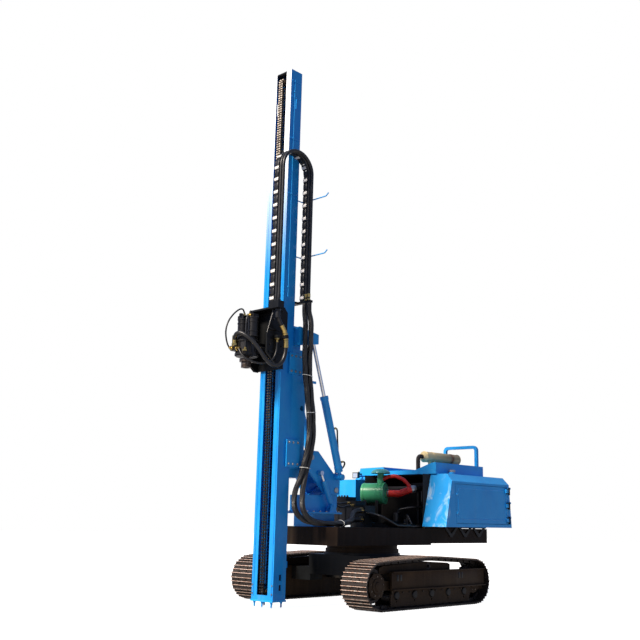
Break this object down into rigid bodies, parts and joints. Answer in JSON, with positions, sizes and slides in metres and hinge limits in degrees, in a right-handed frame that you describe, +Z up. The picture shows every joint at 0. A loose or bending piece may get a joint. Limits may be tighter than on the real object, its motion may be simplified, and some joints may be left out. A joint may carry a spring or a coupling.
{
  "type": "micro pile drilling rig",
  "caption": "Tracked micro pile drilling rig: a slewing deck with engine housing carries a tall tilting, sliding mast with a feed carriage, rotary drill head and looped hose carrier.",
  "frame": {"origin": "on the ground under the slew centre, which is also the middle of the machine's length within 5 cm", "axes": "+X forward to the mast, +Y to the machine's left, +Z up"},
  "size_m": [5.3586, 2.653, 7.82],
  "materials": {
    "blue_paint": "satin",
    "dark_paint": "matt",
    "black_paint": "satin",
    "track_steel": "worn",
    "engine_iron": "matt",
    "chain_steel": "oiled",
    "rod_chrome": "polished",
    "hose_rubber": "matt",
    "green_paint": "satin",
    "red_rubber": "satin",
    "muffler_steel": "rusty",
    "lamp_plastic": "matt"
  },
  "bodies": {
    "undercarriage": {"car_body": "dark_paint", "track_frame_left": "dark_paint", "track_frame_right": "dark_paint", "idler_wheels": "track_steel", "drive_sprockets": "track_steel", "track_rollers": "track_steel", "track_left": "track_steel", "track_right": "track_steel", "slew_ring_lower": "dark_paint"},
    "upper": {"slew_ring_upper": "dark_paint", "deck_frame": "dark_paint", "box_brackets": "dark_paint", "side_box_left": "blue_paint", "side_box_right": "blue_paint", "engine_cowl": "blue_paint", "engine_block": "engine_iron", "air_cleaner": "green_paint", "pump_block": "black_paint", "intake_duct": "red_rubber", "muffler": "muffler_steel", "exhaust_pipe": "muffler_steel", "handrail": "blue_paint", "box_step": "blue_paint", "valve_bank": "black_paint", "work_lamp": "lamp_plastic", "filler_cap": "black_paint", "mast_pedestal": "blue_paint", "hoses_deck": "hose_rubber", "hoses_lift": "hose_rubber"},
    "door_left": {"side_door_left": "blue_paint"},
    "door_right": {"side_door_right": "blue_paint"},
    "door_rear": {"rear_door": "blue_paint"},
    "boom": {"boom_arm": "blue_paint", "hoses_boom": "hose_rubber", "hoses_tilt": "hose_rubber"},
    "lift_barrels": {"lift_barrels": "blue_paint"},
    "lift_rods": {"lift_rods": "rod_chrome"},
    "tilt_barrels": {"tilt_barrels": "blue_paint"},
    "tilt_rods": {"tilt_rods": "rod_chrome"},
    "cradle": {"mast_cradle": "blue_paint", "slide_barrel": "blue_paint", "hoses_cradle": "hose_rubber"},
    "mast": {"mast_beam": "blue_paint", "mast_foot": "blue_paint", "slide_rod": "rod_chrome", "feed_chain": "chain_steel", "hose_bulkhead": "black_paint", "hose_guide_rods": "blue_paint", "hose_loop_rise": "hose_rubber", "hoses_mast": "hose_rubber"},
    "sprocket_low": {"chain_sprocket_low": "chain_steel"},
    "sprocket_high": {"chain_sprocket_high": "chain_steel"},
    "carriage": {"carriage": "black_paint", "drill_gearbox": "black_paint", "drill_motors": "black_paint", "hose_loop_drop": "hose_rubber", "hoses_head": "hose_rubber"},
    "chuck": {"drill_chuck": "chain_steel"},
    "loop_top": {"hose_loop_top": "hose_rubber"},
    "loop_link": {"hose_loop_link": "hose_rubber"}
  },
  "joints": [
    {"name": "slew", "type": "hinge", "parent": "undercarriage", "child": "upper", "pos_m": [0, 0, 0.758], "axis": [0, 0, 1], "continuous": true},
    {"name": "boom_lift", "type": "hinge", "parent": "upper", "child": "boom", "pos_m": [0.8, 0, 1.58], "axis": [0, 1, 0], "range_deg": [-25, 0], "deforming": ["hoses_boom", "hoses_lift"]},
    {"name": "lift_barrel_turn", "type": "hinge", "parent": "upper", "child": "lift_barrels", "pos_m": [0.94, 0, 1.35], "axis": [0, 1, 0], "range_deg": [-17.19, 0]},
    {"name": "lift_rod_slide", "type": "slide", "parent": "lift_barrels", "child": "lift_rods", "axis": [0.4511, 0, 0.8925], "range_m": [0, 0.08991]},
    {"name": "mast_tilt", "type": "hinge", "parent": "boom", "child": "cradle", "pos_m": [1.32, 0, 2.02], "axis": [0, 1, 0], "range_deg": [-65, 4], "deforming": ["hoses_cradle"]},
    {"name": "tilt_barrel_turn", "type": "hinge", "parent": "boom", "child": "tilt_barrels", "pos_m": [0.8, 0, 1.765], "axis": [0, 1, 0], "range_deg": [-59.77, 3.69], "deforming": ["hoses_tilt"]},
    {"name": "tilt_rod_slide", "type": "slide", "parent": "tilt_barrels", "child": "tilt_rods", "axis": [0.3184, 0, 0.9479], "range_m": [-0.60332, 0.03807]},
    {"name": "mast_slide", "type": "slide", "parent": "cradle", "child": "mast", "axis": [0, 0, 1], "range_m": [0, 0.8], "deforming": ["hoses_mast"]},
    {"name": "low_sprocket_turn", "type": "hinge", "parent": "mast", "child": "sprocket_low", "pos_m": [1.925, -0.03, 0.215], "axis": [0, 1, 0], "continuous": true},
    {"name": "high_sprocket_turn", "type": "hinge", "parent": "mast", "child": "sprocket_high", "pos_m": [1.925, -0.03, 7.69], "axis": [0, 1, 0], "continuous": true},
    {"name": "feed", "type": "slide", "parent": "mast", "child": "carriage", "axis": [0, 0, 1], "range_m": [-2.85, 3.2]},
    {"name": "chuck_turn", "type": "hinge", "parent": "carriage", "child": "chuck", "pos_m": [2.47, 0, 3.25], "axis": [0, 0, 1], "continuous": true},
    {"name": "loop_top_slide", "type": "slide", "parent": "mast", "child": "loop_top", "axis": [0, 0, 1], "range_m": [-1.426, 1.601], "deforming": ["hose_loop_rise"]},
    {"name": "loop_link_slide", "type": "slide", "parent": "carriage", "child": "loop_link", "axis": [0, 0, 1], "range_m": [-1.601, 1.426], "deforming": ["hose_loop_drop"]},
    {"name": "left_door_hinge", "type": "hinge", "parent": "upper", "child": "door_left", "pos_m": [-2.443, 1.063, 1.44], "axis": [0, 0, 1], "range_deg": [0, 110]},
    {"name": "right_door_hinge", "type": "hinge", "parent": "upper", "child": "door_right", "pos_m": [-2.443, -1.063, 1.44], "axis": [0, 0, -1], "range_deg": [0, 110]},
    {"name": "rear_door_hinge", "type": "hinge", "parent": "upper", "child": "door_rear", "pos_m": [-2.534, -0.592, 1.44], "axis": [0, 0, 1], "range_deg": [0, 110]}
  ],
  "couplings": [
    {"joint": "lift_barrel_turn", "follows": "boom_lift", "ratio": 0.68713},
    {"joint": "lift_rod_slide", "follows": "boom_lift", "m_per_rad": -0.20377},
    {"joint": "tilt_barrel_turn", "follows": "mast_tilt", "ratio": 0.91938},
    {"joint": "tilt_rod_slide", "follows": "mast_tilt", "m_per_rad": 0.53093},
    {"joint": "loop_top_slide", "follows": "feed", "ratio": 0.5},
    {"joint": "loop_link_slide", "follows": "feed", "ratio": -0.5}
  ]
}
